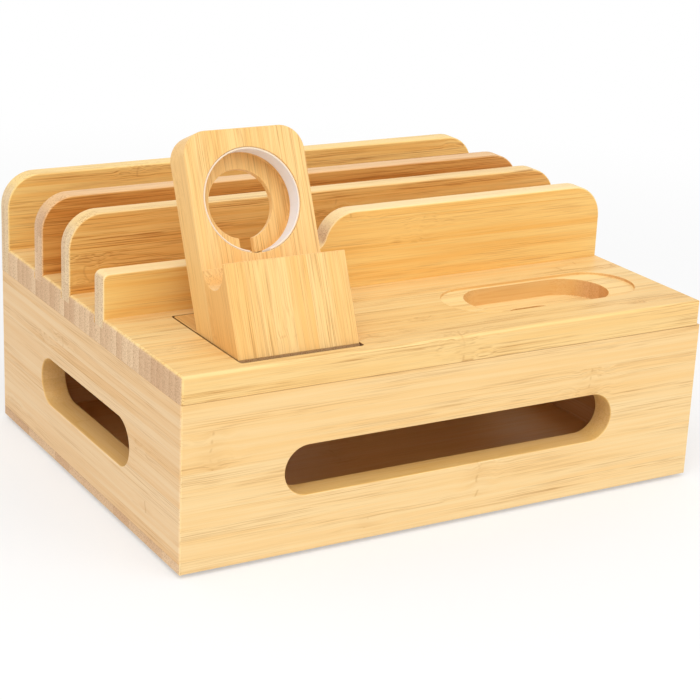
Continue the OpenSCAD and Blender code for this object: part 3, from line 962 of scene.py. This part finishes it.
class ORGANIZER_OT_stage(bpy.types.Operator):
    """Make the floor, the lamps, the surroundings and the camera"""

    bl_idname = "organizer.stage"
    bl_label = "Stage"

    def execute(self, context):
        scene = context.scene
        settings = scene.stage_settings
        world = bpy.data.worlds.new("studio")
        scene.world = world
        s = Shader(world)
        light = s.node("ShaderNodeBackground", None, {"Color": (1, 1, 1, 1), "Strength": settings.fill})
        white = s.node("ShaderNodeBackground", None, {"Color": (1, 1, 1, 1), "Strength": 1.0})
        both = s.node("ShaderNodeMixShader", None, {0: camera_rays(s), 1: light, 2: white})
        s.node("ShaderNodeOutputWorld", None, {"Surface": both})

        bm = bmesh.new()
        bmesh.ops.create_grid(bm, x_segments=1, y_segments=1, size=6.0)
        mesh = bpy.data.meshes.new("studio_floor")
        bm.to_mesh(mesh)
        bm.free()
        floor = bpy.data.objects.new("studio_floor", mesh)
        scene.collection.objects.link(floor)
        material = bpy.data.materials.new("floor_white")
        s = Shader(material)
        place = s.node("ShaderNodeTexCoord", None, None, "Object")
        away = s.node("ShaderNodeVectorMath", {"operation": "LENGTH"}, {0: place}, "Value")
        # Near the object the floor keeps its shadow, and further off it goes over into the white surroundings
        faded = away.step(0.30, 0.95) * 0.6 + 0.4
        matt = s.node("ShaderNodeBsdfDiffuse", None, {"Color": rgba(settings.floor)})
        white = s.node("ShaderNodeEmission", None, {"Color": (1, 1, 1, 1), "Strength": 1.0})
        both = s.node("ShaderNodeMixShader", None, {0: camera_rays(s) * faded, 1: matt, 2: white})
        s.node("ShaderNodeOutputMaterial", None, {"Surface": both})
        mesh.materials.append(material)

        lamps = {
            "key_lamp": ((-0.7, -0.9, 1.7), settings.key, 1.4),
            "front_lamp": ((0.9, -1.5, 0.9), settings.front, 1.2),
        }
        for name, (place, power, size) in lamps.items():
            data = bpy.data.lights.new(name, "AREA")
            data.energy = power
            data.shape = "SQUARE"
            data.size = size
            lamp = bpy.data.objects.new(name, data)
            lamp.location = place
            lamp.rotation_euler = (Vector((0, 0, 0.08)) - Vector(place)).to_track_quat("-Z", "Y").to_euler()
            scene.collection.objects.link(lamp)

        yaw, pitch, roll = (math.radians(a) for a in (30.79, 19.04, 2.53))
        forward = Vector((math.sin(yaw) * math.cos(pitch), math.cos(yaw) * math.cos(pitch), -math.sin(pitch)))
        level = Vector((math.cos(yaw), -math.sin(yaw), 0))
        upright = level.cross(forward)
        right = level * math.cos(roll) + upright * math.sin(roll)
        up = upright * math.cos(roll) - level * math.sin(roll)
        data = bpy.data.cameras.new("photo_camera")
        data.lens = settings.lens
        data.sensor_width = 36.0
        data.sensor_fit = "HORIZONTAL"
        data.clip_start = 0.05
        data.clip_end = 30
        camera = bpy.data.objects.new("photo_camera", data)
        camera.matrix_world = Matrix.Translation((-0.5453, -0.9245, 0.4322)) @ Matrix((right, up, -forward)).transposed().to_4x4()
        scene.collection.objects.link(camera)
        scene.camera = camera
        scene.view_settings.view_transform = "Standard"
        return {"FINISHED"}


class ORGANIZER_PT_panel(bpy.types.Panel):
    """Lists the organizer's pieces"""

    bl_label = "Charging Station Organizer"
    bl_idname = "ORGANIZER_PT_panel"
    bl_space_type = "VIEW_3D"
    bl_region_type = "UI"
    bl_category = "Organizer"

    def draw(self, context):
        column = self.layout.column(align=True)
        for operator in OPERATORS:
            column.operator(operator.bl_idname)
        for group in GROUPS:
            settings = getattr(context.scene, group)
            box = self.layout.box()
            for name in settings.__annotations__:
                box.prop(settings, name)


GROUPS = {
    "bamboo_finish": BambooFinish,
    "edge_sizes": EdgeSizes,
    "fitting_sizes": FittingSizes,
    "stage_settings": StageSettings,
}
OPERATORS = (
    ORGANIZER_OT_box,
    ORGANIZER_OT_lid,
    ORGANIZER_OT_dividers,
    ORGANIZER_OT_stand,
    ORGANIZER_OT_liner,
    ORGANIZER_OT_screws,
    ORGANIZER_OT_feet,
    ORGANIZER_OT_stage,
)


def register():
    for cls in (*GROUPS.values(), *OPERATORS, ORGANIZER_PT_panel):
        bpy.utils.register_class(cls)
    for name, group in GROUPS.items():
        setattr(bpy.types.Scene, name, PointerProperty(type=group))


def unregister():
    for name in GROUPS:
        delattr(bpy.types.Scene, name)
    for cls in reversed((*GROUPS.values(), *OPERATORS, ORGANIZER_PT_panel)):
        bpy.utils.unregister_class(cls)


def main():
    register()
    for operator in OPERATORS:
        area, name = operator.bl_idname.split(".")
        getattr(getattr(bpy.ops, area), name)()


if __name__ == "__main__":
    main()
